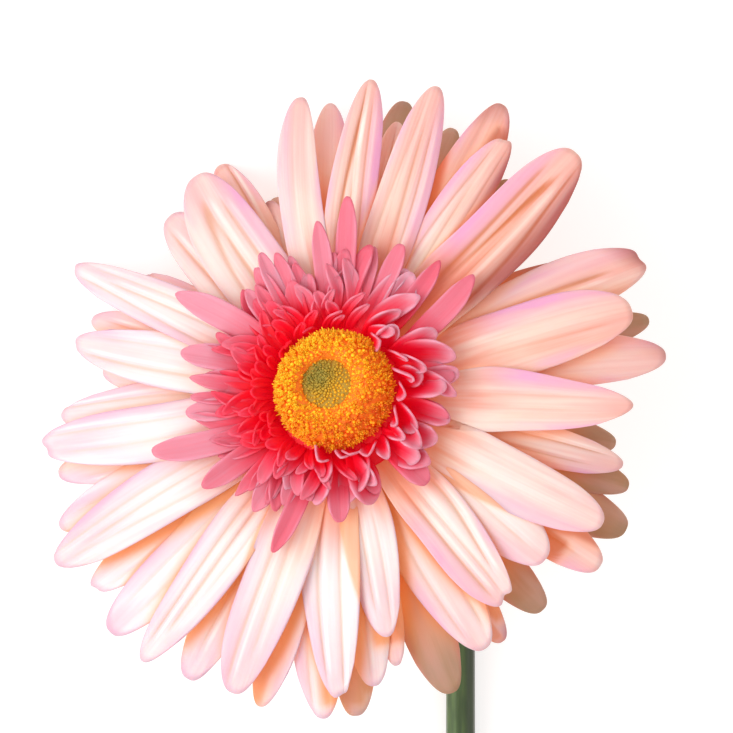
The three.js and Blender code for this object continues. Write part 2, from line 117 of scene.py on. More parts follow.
# Parts of the face that differ from the rest, many of them where shade is painted: the heading of each, and
# the cosines of the turn away from it at which it starts and is full
ZONES = {
    "faint shade": (158, 0.6, 0.9),
    "less shade": (8, 0.86, 0.97),
    "bright tips": (112, 0.7, 0.9),
    "lit roots": (70, 0.6, 0.95),
    "white roots": (8, 0.9, 0.97),
    "flat tops": (352, 0.7, 0.92),
    "shallow folds": (64, 0.97, 0.985),
    "lilac behind": (28, 0.85, 0.86),
    # Painted shade on the far edge of the rays here
    "dusky edge": (52, 0.975, 0.99),
    # Painted shadow on the back rays on the side the light doesn't reach
    "dull backs": (10, -0.45, 0.1),
    "plain red": (172, 0.3, 0.85),
    "spoons": (-15, -0.35, 0.35),
}
# Heading of the warm side, turned from the light: its rays are peachier, partly their own tone and partly
# painted shade
WARM_SHADE_HEADING = 42

# Shade falls to the lower right of a covering ray, and fades out sooner on the pale side
SHADE_SHIFT = (0.9, -0.3)
SHADE_REACH = 1.9
DEEP_SHADE_REACH = 3
CONTACT_REACH = 0.9

# Where the light comes from, in the plane of the head
LIGHT_FROM = (-0.98, -0.2)

# Inner florets
INNER_ROOT = 11.2
INNER_HEIGHT = 3.4
INNER_THICKNESS = 0.35
INNER_FLOOR = 2.4
TONGUE_CAP = 0.2
INNER_SEED = 5

# Each row of slender florets, by these facts
ROW_FACTS = ("count", "tip", "top", "width", "droop", "cup", "blunt")
SLENDER_ROWS = [
    (46, 15.4, 8.6, 1.9, 2.2, 0.45, 3),
    (44, 18.2, 8, 2.1, 2.4, 0.4, 2.8),
    (40, 21, 6.8, 2.5, 2.5, 0.35, 2.5),
    (34, 23.8, 5.6, 2.9, 2.4, 0.3, 2.2),
    (30, 26.4, 4.6, 3.2, 2.2, 0.25, 2),
]

# Each row of broad florets, hollowed like spoons, on the side towards the right
SPOON_ROWS = [
    (21, 13.1, 9.4, 2.6, 1.4, 0.8, 2.8),
    (18, 16.8, 8, 3.5, 2.2, 0.75, 2.6),
    (17, 19.8, 6.4, 4.2, 2.4, 0.5, 2.4),
    (16, 22.6, 5, 4.4, 2.2, 0.35, 2.2),
]

# Where the inner florets reach further or less far: heading, spread and share of their length
REACHES = [(68, 30, 0.24), (300, 24, -0.38), (350, 18, -0.16), (240, 14, -0.18)]

# The red ground that the inner florets grow from
COLLAR_PROFILE = [(8.7, 2.3), (8.9, 4.2), (10.4, 4.4), (11.6, 4.1)]
COLLAR_PROFILE += [(13, 3.5), (14.2, 3), (15, 2.6), (14.6, 2.2)]

# Each long inner floret: angle, radius of its tip, width
LONG_INNERS = [
    (13, 20.8, 4.6), (40.9, 32.3, 4.4), (53, 30.2, 3.5), (66.9, 29.4, 3.6),
    (77.5, 27.6, 3.4), (86.7, 36, 3.8), (96.4, 31.8, 3.5), (108.7, 25.4, 3.3),
    (115, 28.4, 3.2), (121.3, 29.6, 3), (132, 25.8, 3.6), (146.4, 35.3, 5),
    (166, 30, 4.8), (173, 25.4, 4.2), (186.3, 28.1, 4.2), (195.4, 35.5, 4.8),
    (214, 29.8, 4.3), (232, 26, 4.3), (245.8, 30.5, 3.5), (270.4, 22.4, 4),
    (290, 18.4, 3.4), (315, 22, 4.6), (348, 19.6, 4),
]

# What long inner florets share: top height, cupping, bluntness and how far they stray sideways
LONG_SHAPE = {"top": 4.4, "cup": 0.25, "blunt": 2.3, "stray": 2}

# Long inner florets that lie askew: how many degrees their root's angle falls short of their tip's
SWINGS = {40.9: 9, 53: 4, 146.4: 4, 166: 8, 195.4: -10, 245.8: -7}

# Disc: profiles run from the outer foot over the rim and down into the hollow
DISC_RADIUS = 11
DISC_COUNT = 1300
DISC_SIZE = 0.66
DISC_SEED = 3
HOLLOW_SHIFT = (-2, 1.6)
DISC_PROFILE = [(9.4, 4.4), (10.2, 5.2), (10.7, 6.3), (10.5, 7.3), (9.9, 8.2), (8.9, 8.9)]
DISC_PROFILE += [(7.8, 9.2), (6.8, 9.1), (5.8, 8.6), (5, 8), (4.5, 7.4)]
DISC_GROUND = [(8.8, 4.6), *[(r - 0.5, w - 0.45) for r, w in DISC_PROFILE[1:-1]], (4.5, 6.9)]
CENTRE_COUNT = 260
CENTRE_SIZE = 0.52
CENTRE_PROFILE = [(4.5, 7.5), (3.5, 7.75), (2.4, 7.9), (1.2, 8), (0.2, 8)]
CENTRE_GROUND = [(4.7, 7.1), (4.5, 7.3), (3.2, 7.5), (1.4, 7.65), (0.4, 7.65)]
GOLDEN_ANGLE = 137.50776
# Heading turned from the light: the disc's florets are painted redder in shade towards it, the buds in the
# hollow yellower where its wall faces the light
AWAY_FROM_LIGHT_HEADING = 320

# Cup under the head, and each row of scales on it: how many, heights of foot and tip, width
CUP_DEPTH = 16
CUP_RADIUS = 14.2
CUP_FOOT_RADIUS = 3.3
CUP_RIM = -3.4
CUP_LEVELS = [-16, -15.4, -14.6, -13.4, -12, -10, -8, -6, -4.6, CUP_RIM]
CUP_TOP = [(CUP_RADIUS - 1, -2.9), (11, -1.7), (7, -1.65)]
SCALE_THICKNESS = 0.3
SCALE_SEED = 9
SCALE_ROWS = [
    (16, -15.4, -8.6, 2.6),
    (20, -13.6, -6.2, 3.1),
    (24, -11.2, -4.4, 3.2),
    (24, -8.6, -3.6, 3.2),
]

# Stem: its route is given from the head's centre in plan
NECK_RADIUS = 2.9
STEM_RADIUS = 2.7
CUT_END_RADIUS = 3.3
TOUCHDOWN = (27.4, -46)
CUT_END = (24, -300)
NECK_REACH = 14
LANDING_REACH = 18
CLEARANCE = 0.3
NECK_STEPS = 24
STEM_STEPS = 60
STEM_SIDES = 36
STEM_BEND = 5
RIBS = 9
RIB_DEPTH = 0.03
PITH_PROFILE = [(0.88, -0.4), (0.88, 0.12), (0.8, 0.2), (0.3, 0.16)]

# View: the camera leans the same way as the head, by less
CAMERA_LEAN = 13
CAMERA_DISTANCE = 1000
FIELD_WIDTH = 132
HEAD_IN_FRAME = (-4.59, -5.31)
SUN_FROM = (-0.8, -0.1, 0.72)
SUN_STRENGTH = 1.6
SUN_SPREAD = 50
SKY = (1, 0.985, 0.975, 1)
SKY_STRENGTH = 0.92
TABLE_WHITE = (0.62, 0.62, 0.62, 1)
TABLE_GLOW = 0.52
TABLE_DROP = 0.0002


def smooth(x, low, high):
    """A soft step from 0 at low to 1 at high."""
    share = np.clip((x - low) / (high - low), 0, 1)
    return share * share * (3 - 2 * share)


def leaning(degrees):
    """The unit vector that leans by an angle from straight up, towards the head's heading."""
    lean, heading = math.radians(degrees), math.radians(LEAN_HEADING)
    return Vector((math.sin(lean) * math.cos(heading), math.sin(lean) * math.sin(heading), math.cos(lean)))


HEAD_AXIS = leaning(HEAD_LEAN)
HEAD_TURN = np.array(Vector((0, 0, 1)).rotation_difference(HEAD_AXIS).to_matrix())
VIEW = leaning(CAMERA_LEAN)
RIGHT = Vector((0, 1, 0)).cross(VIEW).normalized()
UP = VIEW.cross(RIGHT)


def columns(*values):
    """Values side by side, one point to a row."""
    return np.stack(np.broadcast_arrays(*values), axis=-1)


def in_head(radius, side, height, degrees):
    """Points in the head's own frame, from a radius, a sideways step, a height and an angle."""
    angle = np.radians(degrees)
    return columns(
        radius * np.cos(angle) - side * np.sin(angle),
        radius * np.sin(angle) + side * np.cos(angle),
        height,
    )


def as_seen(points):
    """Slides points along the face until the camera sees them where their radius and angle say."""
    shown = np.array([RIGHT, UP]) @ HEAD_TURN
    plan = points[..., :2] - points[..., 2:] * shown[:, 2]
    return np.concatenate([plan @ np.linalg.inv(shown[:, :2]).T, points[..., 2:]], axis=-1)


def in_world(points):
    """Points of the head's frame as world points, in metres."""
    return (points @ HEAD_TURN.T + np.array(HEAD_CENTRE)) * MM


# Finishes

BLACK = (0, 0, 0, 1)
INNER_STOPS = [(0, "ea001e"), (0.14, "e4082c"), (0.32, "e2405a"), (0.52, "de677b")]
INNER_STOPS += [(0.76, "dc8799"), (1, "e8a8ba")]
DISC_STOPS = [(0, "e2380c"), (0.3, "ec6c02"), (0.5, "f39200"), (0.75, "fbaa00"), (1, "ffc81c")]


class Value:
    """A socket of a material, or a sum worked out from sockets."""

    def __init__(self, finish, socket):
        self.finish = finish
        self.socket = socket

    def math(self, operation, *values):
        return self.finish.node("ShaderNodeMath", {"operation": operation}, dict(enumerate(values)))

    def __add__(self, other):
        return self.math("ADD", self, other)

    def __sub__(self, other):
        return self.math("SUBTRACT", self, other)

    def __rsub__(self, other):
        return self.math("SUBTRACT", other, self)

    def __mul__(self, other):
        return self.math("MULTIPLY", self, other)

    __radd__ = __add__
    __rmul__ = __mul__

    def __pow__(self, other):
        return self.math("POWER", self, other)

    def __abs__(self):
        return self.math("ABSOLUTE", self)

    def step(self, low, high):
        settings = {"interpolation_type": "SMOOTHSTEP"}
        return self.finish.node("ShaderNodeMapRange", settings, {"Value": self, 1: low, 2: high})


class Finish:
    """A material built from nodes."""

    def __init__(self, name):
        self.material = bpy.data.materials.new(name)
        self.material.use_nodes = True
        self.tree = self.material.node_tree
        self.shader = self.tree.nodes["Principled BSDF"]

    def node(self, kind, settings=None, inputs=None, output=0):
        """Adds a node, sets it, feeds it and returns one of its outputs."""
        made = self.tree.nodes.new(kind)
        for name, setting in (settings or {}).items():
            if name == "stops":
                set_stops(made.color_ramp.elements, setting)
            else:
                setattr(made, name, setting)
        for name, value in (inputs or {}).items():
            self.feed(made.inputs[name], value)
        return Value(self, made.outputs[output])

    def feed(self, socket, value):
        """Links a value to a socket, or sets it to a number or a colour in hex digits."""
        if isinstance(value, Value):
            self.tree.links.new(value.socket, socket)
        else:
            socket.default_value = paint(value) if isinstance(value, str) else value

    def attribute(self, name, output="Fac"):
        return self.node("ShaderNodeAttribute", {"attribute_name": name}, output=output)

    def channels(self, name):
        """The three numbers that a colour attribute holds."""
        colour = self.attribute(name, "Color")
        return [self.node("ShaderNodeSeparateColor", None, {0: colour}, output=i) for i in range(3)]

    def blend(self, share, low, high):
        return self.node("ShaderNodeMix", {"data_type": "RGBA"}, {0: share, 6: low, 7: high}, output=2)

    def bump(self, strength, distance, height):
        inputs = {"Strength": strength, "Distance": distance, "Height": height}
        return self.node("ShaderNodeBump", None, inputs)

    def surface(self, **inputs):
        for name, value in inputs.items():
            self.feed(self.shader.inputs[name.replace("_", " ")], value)
        return self.material


def set_stops(elements, stops):
    """Gives a ramp its stops, each a place and a colour."""
    while len(elements) < len(stops):
        elements.new(0.5)
    for element, (place, colour) in zip(elements, stops):
        element.position = place
        element.color = paint(colour)


def paint(hex_colour):
    """A colour as nodes take it, from six hex digits."""
    channels = [int(hex_colour[i : i + 2], 16) / 255 for i in (0, 2, 4)]
    return (*(c / 12.92 if c <= 0.04045 else ((c + 0.055) / 1.055) ** 2.4 for c in channels), 1)


def streaks(finish, across, along, turn, fine, long):
    """Noise drawn out along a petal, with a different draw for each petal."""
    place = finish.node("ShaderNodeCombineXYZ", None, {0: across * fine, 1: along * long, 2: turn * 37})
    return finish.node("ShaderNodeTexNoise", None, {"Vector": place, "Scale": 1, "Detail": 3})


def grain(finish, scale, detail=2):
    """Noise in the piece's own space."""
    place = finish.node("ShaderNodeTexCoord", output="Object")
    return finish.node("ShaderNodeTexNoise", None, {"Vector": place, "Scale": scale, "Detail": detail})


class RayFinish(Finish):
    """Petals from cream on the pale, lit side to peach on the warm side, which is turned from the light and
    partly painted shade, with lilac edges.
    """

    def __init__(self):
        super().__init__("ray_petal")
        across, self.along, self.draw = self.channels("petal")
        self.warmth, self.fold, self.shade = self.channels("tint")
        self.lilac, self.dusk, self.under_shadow = self.channels("marks")
        self.across = across * 2 - 1
        self.fine = streaks(self, self.across, self.along, self.draw, 9, 1.4)
        self.broad = streaks(self, self.across, self.along, self.draw, 1.5, 1.1)
        self.cloud = streaks(self, self.across, self.along, self.draw + 0.5, 1.2, 2.2)

    def tone(self, pale, warm):
        return self.blend(self.warmth, pale, warm)

    def coated(self, body, *coats):
        """Lays coats over a colour one after another, each a share and a colour."""
        for share, colour in coats:
            body = self.blend(share, body, colour)
        return body

    def ground(self):
        """Streaks of a lighter and a deeper tone, a flush towards the tip, and cream near the root."""
        streaky = self.broad.step(0.25, 0.75) * 0.75 + self.fine.step(0.3, 0.7) * 0.35 - 0.15
        flush = (0.11 + 0.42 * self.cloud.step(0.3, 0.7)) * (1.8 - 0.8 * self.warmth)
        cream = (1 - self.along.step(0.3, 0.75)) * self.cloud.step(0.45, 0.7) * 0.6
        return self.coated(
            self.tone("f7eeee", "f3cebf"),
            (streaky, self.tone("f1dedd", "ea9f8a")),
            (self.along.step(0.45, 1) * flush, self.tone("e6bac8", "eaaaa4")),
            (cream, "f7e6d2"),
        )

    def edged(self, body):
        """Lilac along the edges, and on pale petals a thin greyer line right round."""
        side = abs(self.across)
        lilac = self.lilac * (0.4 + 0.6 * self.broad.step(0.3, 0.6))
        blotches = side.step(0.5, 1) * self.along.step(0.3, 0.6) * self.cloud.step(0.45, 0.65)
        end = (self.along + side**2.4 * RAY_CAP).step(0.96, 1)
        brim = (side.step(0.86, 1) * self.along.step(0.2, 0.4) + end) * (1 - self.warmth)
        lilac = (lilac + blotches) * (0.3 + 0.5 * self.warmth)
        return self.coated(body, (lilac, "e7a3c5"), (brim * 0.65, "cba2ba"))

    def fold_shade_and_highlight(self, body):
        """Painted shade in the folds, orange, and a painted highlight, white, on their ridges."""
        crease = self.fold.step(0.55, 1) * (0.4 + 0.6 * self.warmth)
        ridge = (1 - self.fold).step(0.55, 1) * 0.75
        orange, white = self.tone("e6c2a4", "cc7a50"), self.tone("fdfaf8", "fdebe1")
        return self.coated(body, (crease, orange), (ridge, white))

    def shadowed(self, body):
        """Painted shade: coral at the root, orange where rays shade each other, and browner tips."""
        # Painted shade at the roots, coral, where the inner florets shade them
        root = (1 - self.along.step(0.22, 0.55)) * (self.broad.step(0.36, 0.62) * (0.5 + 0.5 * self.warmth))
        deep = self.tone("e99c5c", "e26c3a")
        deep = self.blend(self.along.step(0.7, 0.92) * self.warmth, deep, "a85a44")
        return self.coated(
            body,
            (root, "e46a4c"),
            ((1 - self.along.step(0.1, 0.42)) * 0.5, "f08c6c"),
            (self.shade * 0.9, self.blend(self.shade.step(0.35, 1), "f2b694", deep)),
            (self.along.step(0.8, 1) * self.warmth * (0.05 + 0.28 * self.draw), "cc9086"),
        )

    def under_shadowed(self, body):
        """Painted shadow, olive and orange, on rays that lie under the others, and painted dusky shade on
        far edges and tips.
        """
        olive = self.blend(self.cloud.step(0.35, 0.65), "9c7a58", "b08a74")
        under_shadow_colour = self.blend(self.along.step(0.55, 0.92), "e8954f", olive)
        under_shadow_colour = self.blend(abs(self.across).step(0.55, 1) * 0.6, under_shadow_colour, "b06c62")
        return self.coated(body, (self.under_shadow * (0.55 + 0.4 * self.along), under_shadow_colour), (self.dusk, "9c463c"))

    def glow(self):
        """A painted glow that stands in for light coming through the petals where they lie close, and at
        their roots.
        """
        through = self.shade * (1 - 0.7 * self.under_shadow * self.along.step(0.5, 0.9))
        return self.blend(through + 0.45 * (1 - self.along.step(0.1, 0.42)), BLACK, "ec8a40")

    def made(self):
        body = self.fold_shade_and_highlight(self.edged(self.ground()))
        return self.surface(
            Base_Color=self.under_shadowed(self.shadowed(body)),
            Roughness=0.45 + 0.2 * self.fine,
            Normal=self.bump(0.3, 0.0003, self.fine * 0.6 + self.broad * 0.4),
            Emission_Color=self.glow(),
            Emission_Strength=0.16,
            Subsurface_Weight=0.3,
            Subsurface_Radius=(1, 0.5, 0.35),
            Subsurface_Scale=0.0016,
            Sheen_Weight=0.1,
            Sheen_Roughness=0.5,
            Specular_IOR_Level=0.3,
        )


def inner_finish():
    finish = Finish("inner_petal")
    across, along, draw = finish.channels("petal")
    pale = finish.attribute("pale")
    across = across * 2 - 1
    fine = streaks(finish, across, along, draw, 5, 1.2)
    share = pale + (draw - 0.5) * 0.2 + (fine - 0.5) * 0.2
    body = finish.node("ShaderNodeValToRGB", {"stops": INNER_STOPS}, {"Fac": share})
    edge = abs(across).step(0.6, 1) * along.step(0.3, 0.9) * (0.05 + 0.6 * pale)
    return finish.surface(
        Base_Color=finish.blend(edge, body, "eeaec4"),
        Roughness=0.42 + 0.2 * fine,
        Normal=finish.bump(0.3, 0.0002, fine),
        # A painted glow, strongest deep red where the florets are darkest
        Emission_Color=finish.blend(pale.step(0, 0.5), "e6002a", "3a1018"),
        Emission_Strength=0.12,
        Subsurface_Weight=0.25,
        Subsurface_Radius=(1, 0.2, 0.3),
        Subsurface_Scale=0.001,
        Specular_IOR_Level=0.3,
    )


def disc_finish():
    finish = Finish("disc_yellow")
    draw, rim, lift = finish.channels("floret")
    # Painted light and shade: the florets' tops lighter and their feet darker, and redder where the side
    # share (rim) is high
    share = 0.22 + draw * 0.45 + lift * 0.5 - rim * 0.5
    body = finish.node("ShaderNodeValToRGB", {"stops": DISC_STOPS}, {"Fac": share})
    speck = grain(finish, 2500)
    return finish.surface(
        Base_Color=body,
        Roughness=0.55 + 0.2 * speck,
        Normal=finish.bump(0.4, 0.0001, speck),
        # A painted glow of the disc's own colour
        Emission_Color=body,
        Emission_Strength=0.12,
        Subsurface_Weight=0.15,
        Subsurface_Radius=(1, 0.5, 0.1),
        Subsurface_Scale=0.0006,
    )


def bud_finish():
    finish = Finish("bud_green")
    draw, rim, lift = finish.channels("floret")
    # Painted light and shade: yellow where the hollow's wall faces the light, brown at the buds' feet on
    # the shaded side
    body = finish.blend(draw * 0.3 + rim * 1.3 - 0.15, "998a34", "eab010")
    body = finish.blend((1 - lift) * 0.4 * (1 - rim), body, "7d5c2c")
    speck = grain(finish, 1800)
    bump = finish.bump(0.4, 0.0001, speck)
    return finish.surface(Base_Color=body, Roughness=0.6 + 0.2 * speck, Normal=bump)


def green_finish(name, dark, light, blush, length_scale, far_side_shade=0):
    """Green plant skin with lengthwise streaks, painted darker by far_side_shade towards its far side as
    shade turned from the light.
    """
    finish = Finish(name)
    across, along, draw = finish.channels("petal")
    fine = streaks(finish, across, along, draw, 8, length_scale)
    cloud = grain(finish, 120, 3)
    body = finish.blend(fine.step(0.3, 0.75), dark, light)
    body = finish.blend(along.step(0.55, 1) * cloud.step(0.35, 0.75) * 0.5, body, blush)
    return finish.surface(
        Base_Color=finish.blend(across.step(0.35, 0.75) * far_side_shade, body, "243016"),
        Roughness=0.42 + 0.2 * cloud,
        Normal=finish.bump(0.3, 0.0003, fine * 0.7 + cloud * 0.3),
        Sheen_Weight=0.2,
        Specular_IOR_Level=0.5,
    )


def cut_finish():
    finish = Finish("cut_pith")
    place = finish.node("ShaderNodeTexCoord", output="Object")
    pores = finish.node("ShaderNodeTexVoronoi", None, {"Vector": place, "Scale": 2600})
    body = finish.blend(pores.step(0.1, 0.6), "d9dfa4", "a9b86a")
    bump = finish.bump(0.5, 0.0002, pores)
    return finish.surface(Base_Color=body, Roughness=0.7 + 0.1 * pores, Normal=bump)


def table_finish():
    return Finish("pale_table").surface(
        Base_Color=TABLE_WHITE,
        Roughness=0.9,
        Specular_IOR_Level=0.1,
        Emission_Color=(1, 1, 1, 1),
        Emission_Strength=TABLE_GLOW,
    )


# Shapes


def corners(piece):
    """A piece's points, one to a row."""
    flat = np.empty(len(piece.data.vertices) * 3)
    piece.data.vertices.foreach_get("co", flat)
    return flat.reshape(-1, 3)


def select(*pieces):
    """Selects these pieces alone, the first one active."""
    bpy.ops.object.select_all(action="DESELECT")
    for piece in pieces:
        piece.select_set(True)
    if pieces:
        bpy.context.view_layer.objects.active = pieces[0]


def grid(columns, rows):
    """A flat grid with its shares across and along."""
    select()
    bpy.ops.mesh.primitive_grid_add(x_subdivisions=columns, y_subdivisions=rows, size=2)
    sheet = bpy.context.object
    flat = corners(sheet)
    return sheet, flat[:, 0], (flat[:, 1] + 1) / 2


def placed(name, data):
    made = bpy.data.objects.new(name, data)
    bpy.context.collection.objects.link(made)
    return made


def copy_of(base, points, **attributes):
    """A copy of a shape with points and attributes of its own."""
    made = placed("copy", base.data.copy())
    made.data.vertices.foreach_set("co", np.asarray(points).ravel())
    for key, values in attributes.items():
        write_attribute(made.data, key, values)
    made.data.update()
    return made


def write_attribute(mesh, name, values):
    count = len(mesh.vertices)
    values = np.asarray(values, dtype=float)
    if values.ndim == 2:
        layer = mesh.attributes.new(name, "FLOAT_COLOR", "POINT")
        filled = np.ones((count, 4))
        filled[:, : values.shape[1]] = values
        layer.data.foreach_set("color", filled.ravel())
    else:
        layer = mesh.attributes.new(name, "FLOAT", "POINT")
        layer.data.foreach_set("value", np.broadcast_to(values, count).astype(float))


def joined(parts, name):
    select(*parts)
    bpy.ops.object.join()
    piece = bpy.context.object
    piece.name = name
    piece.data.name = name
    return piece


def thickened(piece, thickness):
    """Gives a sheet its thickness, in millimetres."""
    select(piece)
    modifier = piece.modifiers.new("solidify", "SOLIDIFY")
    modifier.thickness = thickness * MM
    modifier.offset = 0
    modifier.use_even_offset = False
    bpy.ops.object.modifier_apply(modifier=modifier.name)


def dressed(piece, material, slot, *nodes):
    """Gives a piece its finish and smooth faces, hangs it on the root body and hides the solids it stands
    in for.
    """
    piece.data.materials.clear()
    piece.data.materials.append(material)
    piece.data.polygons.foreach_set("use_smooth", [True] * len(piece.data.polygons))
    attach(piece, "root")
    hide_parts(*nodes)


def above_table(piece):
    """Lays what would sink below the table flat on it."""
    points = corners(piece)
    points[:, 2] = np.maximum(points[:, 2], 0)
    piece.data.vertices.foreach_set("co", points.ravel())
    piece.data.update()


def petal_facts(across, along, draw):
    """What a petal's finish reads: the shares across and along it, and a draw of its own."""
    return columns(across / 2 + 0.5, along, draw.random())


# Ray florets


def ray_outline(along, blunt):
    """Half a ray's width as a share of its widest, from root to tip."""
    swell = RAY_ROOT_SHARE + (1 - RAY_ROOT_SHARE) * smooth(along, 0, 0.42)
    start = 0.5 + 0.25 * (blunt - 2.4)
    rounding = np.clip((along - start) / (1 - start), 0, 1)
    return swell * np.sqrt(np.clip(1 - rounding ** (blunt - 0.3), 0, 1))


def rounded_end(across, share, outline, width, cap, blunt):
    """Lays a square grid out as a blade with a round end: shares along it, and half its width."""
    drawn_back = cap * smooth(share, 0.35, 1)
    half = width / 2 * outline(share - drawn_back, blunt)
    return share - drawn_back * np.abs(across) ** blunt, half


def folded(across, along, folds, strength, far_wall, draw):
    """Lengthwise folds: how far each pulls the blade down, and 0 on a lit ridge to 1 deep inside one."""
    height, tone = np.zeros((2, len(along)))
    for index in range(folds):
        place = ((index + 0.5) / folds * 2 - 1) * 0.72 + draw.uniform(-0.13, 0.13)
        depth = strength * draw.uniform(0.5, 1)
        start, reach = draw.uniform(0, 0.2), draw.uniform(0.9, 1.06)
        shown = smooth(along, start, start + 0.22) * (1 - smooth(along, reach - 0.16, reach))
        sway = 0.08 * math.sin(index * 2.4 + folds) * np.sin(along * 5)
        away = across - (place * (1 - 0.3 * smooth(along, 0.45, 1)) + sway)
        crease = depth * shown * np.exp(-((away / 0.08) ** 2))
        trough = depth * shown * np.exp(-((away / 0.25) ** 2))
        ridge = depth * shown * np.exp(-(((away - 0.2 * far_wall) / 0.1) ** 2))
        height += 0.35 * crease + 0.35 * trough - 0.12 * ridge
        tone += crease * 0.85 + trough * 0.35 - ridge
    return height, 0.5 + 0.5 * np.clip(tone, -1, 1)


def shaded(x, y, reach, covering):
    """How deep each point, as the camera sees it, lies in the shade of the rays above it."""
    shade = np.zeros_like(x)
    for angle, tip, width, _, blunt, sweep in covering:
        turn = math.radians(angle)
        out, side = x * math.cos(turn) + y * math.sin(turn), y * math.cos(turn) - x * math.sin(turn)
        along = np.clip((out - RAY_ROOT) / (tip - RAY_ROOT), 0, 1)
        half = width / 2 * ray_outline(np.minimum(along, 0.9), blunt)
        beside = np.abs(side - sweep * 4 * along * (1 - along)) - half
        gap = np.hypot(np.maximum(beside, 0), np.maximum(out - tip, 0))
        shade = np.maximum(shade, (1 - smooth(gap, 0, reach)) * (out > 0))
    return shade


def zone(angle, name):
    """How far an angle lies in one of the zones, from 0 to 1."""
    heading, start, full = ZONES[name]
    return float(smooth(math.cos(math.radians(angle - heading)), start, full))


def ray_shade(angle, x, y, along, above, higher):
    """Shade from the layers above, from higher rays of its own layer and from the inner florets."""
    depth = 1 - 0.65 * zone(angle, "faint shade") - 0.4 * zone(angle, "less shade")
    reach = SHADE_REACH + (DEEP_SHADE_REACH - SHADE_REACH) * depth**2
    cast = depth * shaded(x - SHADE_SHIFT[0], y - SHADE_SHIFT[1], reach, above)
    bright_tip = zone(angle, "bright tips") * smooth(along, 0.5, 0.85)
    cast *= 1 - 0.8 * bright_tip
    contact = (0.4 + 0.4 * depth) * (1 - 0.6 * bright_tip) * shaded(x, y, CONTACT_REACH, above + higher)
    inner = (0.55 - 0.25 * zone(angle, "lit roots")) * depth * (1 - smooth(along, 0.12, 0.46))
    return np.maximum(np.maximum(cast, contact), inner)


def fold_strength(angle, layer):
    """Folds are shallow on the top rays at the right and on those near the upper right."""
    flat = 0.65 * zone(angle, "flat tops") if layer is FRONT else 0
    return 1 - flat - 0.4 * zone(angle, "shallow folds")


def ray_lilac_and_shade(angle, across, along, under_shadow):
    """Where a ray is lilac, where it has painted dusky shade on its far edge and tip, and how much painted
    shadow it has as a ray lying under others.
    """
    side = 1 if angle in LILAC_BEHIND or zone(angle, "lilac behind") > 0.5 else -1
    lilac = smooth(side * across, 0.1, 0.8) * smooth(along, 0.25, 0.5)
    # Painted shade, dusky red, on the edge turned from the light and at some rays' tips
    dusk = zone(angle, "dusky edge") * smooth(-across, 0.1, 0.9) * smooth(along, 0.25, 0.5)
    dusk = np.maximum(0.9 * dusk, SHADED_TIPS.get(angle, 0) * smooth(along + 0.08 * across, 0.9, 1.04))
    return columns(lilac, dusk, under_shadow * zone(angle, "dull backs"))


def ray_relief(across, along, half, angle, folds, layer, draw):
    """How far a ray's surface lies off its bowed middle, how far its tip hangs, and the painted shade and
    highlight of its folds.
    """
    turn = math.radians(angle)
    lit = LIGHT_FROM[1] * math.cos(turn) - LIGHT_FROM[0] * math.sin(turn)
    pulled, tone = folded(across, along, folds, fold_strength(angle, layer), -math.copysign(1, lit), draw)
    arch = draw.uniform(*ARCH) * across**2
    rolled = -draw.uniform(*ROLL) * smooth(across * draw.choice([-1, 1]), 0.45, 1.15)
    rolled = rolled * smooth(along, 0.2, 0.7)
    wave = draw.uniform(*WAVE) * np.sin(2 * math.pi * (draw.uniform(0.7, 1.5) * along + draw.random()))
    twisted = draw.uniform(*TWIST) * across * half
    hang = -layer["droop"] * draw.uniform(*DROOP) * smooth(along, 0.72, 1.05)
    hood = -HOOD * draw.random() * across**2 * smooth(along, 0.75, 1)
    free = smooth(along, 0.02, 0.35)
    return free * (arch + rolled + wave * across + twisted + hood - pulled), hang, tone


def ray(base, across, share, facts, layer, lift, above, higher, draw):
    """One ray: a folded, bowed blade with a round end, lifted clear of its neighbours."""
    angle, tip, width, folds, blunt, sweep = facts
    along, half = rounded_end(across, share, ray_outline, width, RAY_CAP, blunt)
    length = tip - RAY_ROOT
    toward_low = max(0, math.cos(math.radians(angle - LEAN_HEADING)))
    bow = length * (layer["rise"] * along - (layer["fall"] + LOW_SIDE_SAG * toward_low**2) * along**2)
    relief, hang, tone = ray_relief(across, along, half, angle, folds, layer, draw)
    height = layer["height"] + lift + bow + relief + hang
    height = np.minimum(height, INNER_FLOOR - 0.9 + 3.2 * smooth(along, 0.3, 0.75))
    uneven = 1 + 0.06 * np.sin(along * draw.uniform(5, 9) + np.sign(across) * 1.7 + draw.uniform(0, 6))
    notch = NOTCHES.get(angle, 0) * np.exp(-(((across - 0.15) / 0.28) ** 2)) * smooth(along, 0.86, 1)
    side = across * half * uneven + sweep * 4 * along * (1 - along)
    points = in_head(RAY_ROOT + length * along - notch, side, height, angle)
    world = in_world(as_seen(points))
    world[:, 2] = np.maximum(world[:, 2], RAY_THICKNESS / 2 * MM)

    # Warmer towards the side turned from the light: peachier, partly the flower's own tone and partly
    # painted shade; near the roots on the right it is taken out
    warmth = 0.5 + 0.45 * math.cos(math.radians(angle - WARM_SHADE_HEADING)) + draw.uniform(-0.12, 0.12)
    petal = petal_facts(across, along, draw)
    whitened = 0.6 * zone(angle, "white roots") * (1 - smooth(along, 0.15, 0.5))
    shade = ray_shade(angle, points[:, 0], points[:, 1], along, above, higher)
    # The tint carries the warm side's tone and painted shade, the painted shade and highlight of the folds,
    # and the painted shade from rays above
    tint = columns(min(max(warmth, 0), 1) * (1 - whitened), tone, shade)
    marks = ray_lilac_and_shade(angle, across, along, layer["under_shadow"])
    return copy_of(base, world, petal=petal, tint=tint, marks=marks)


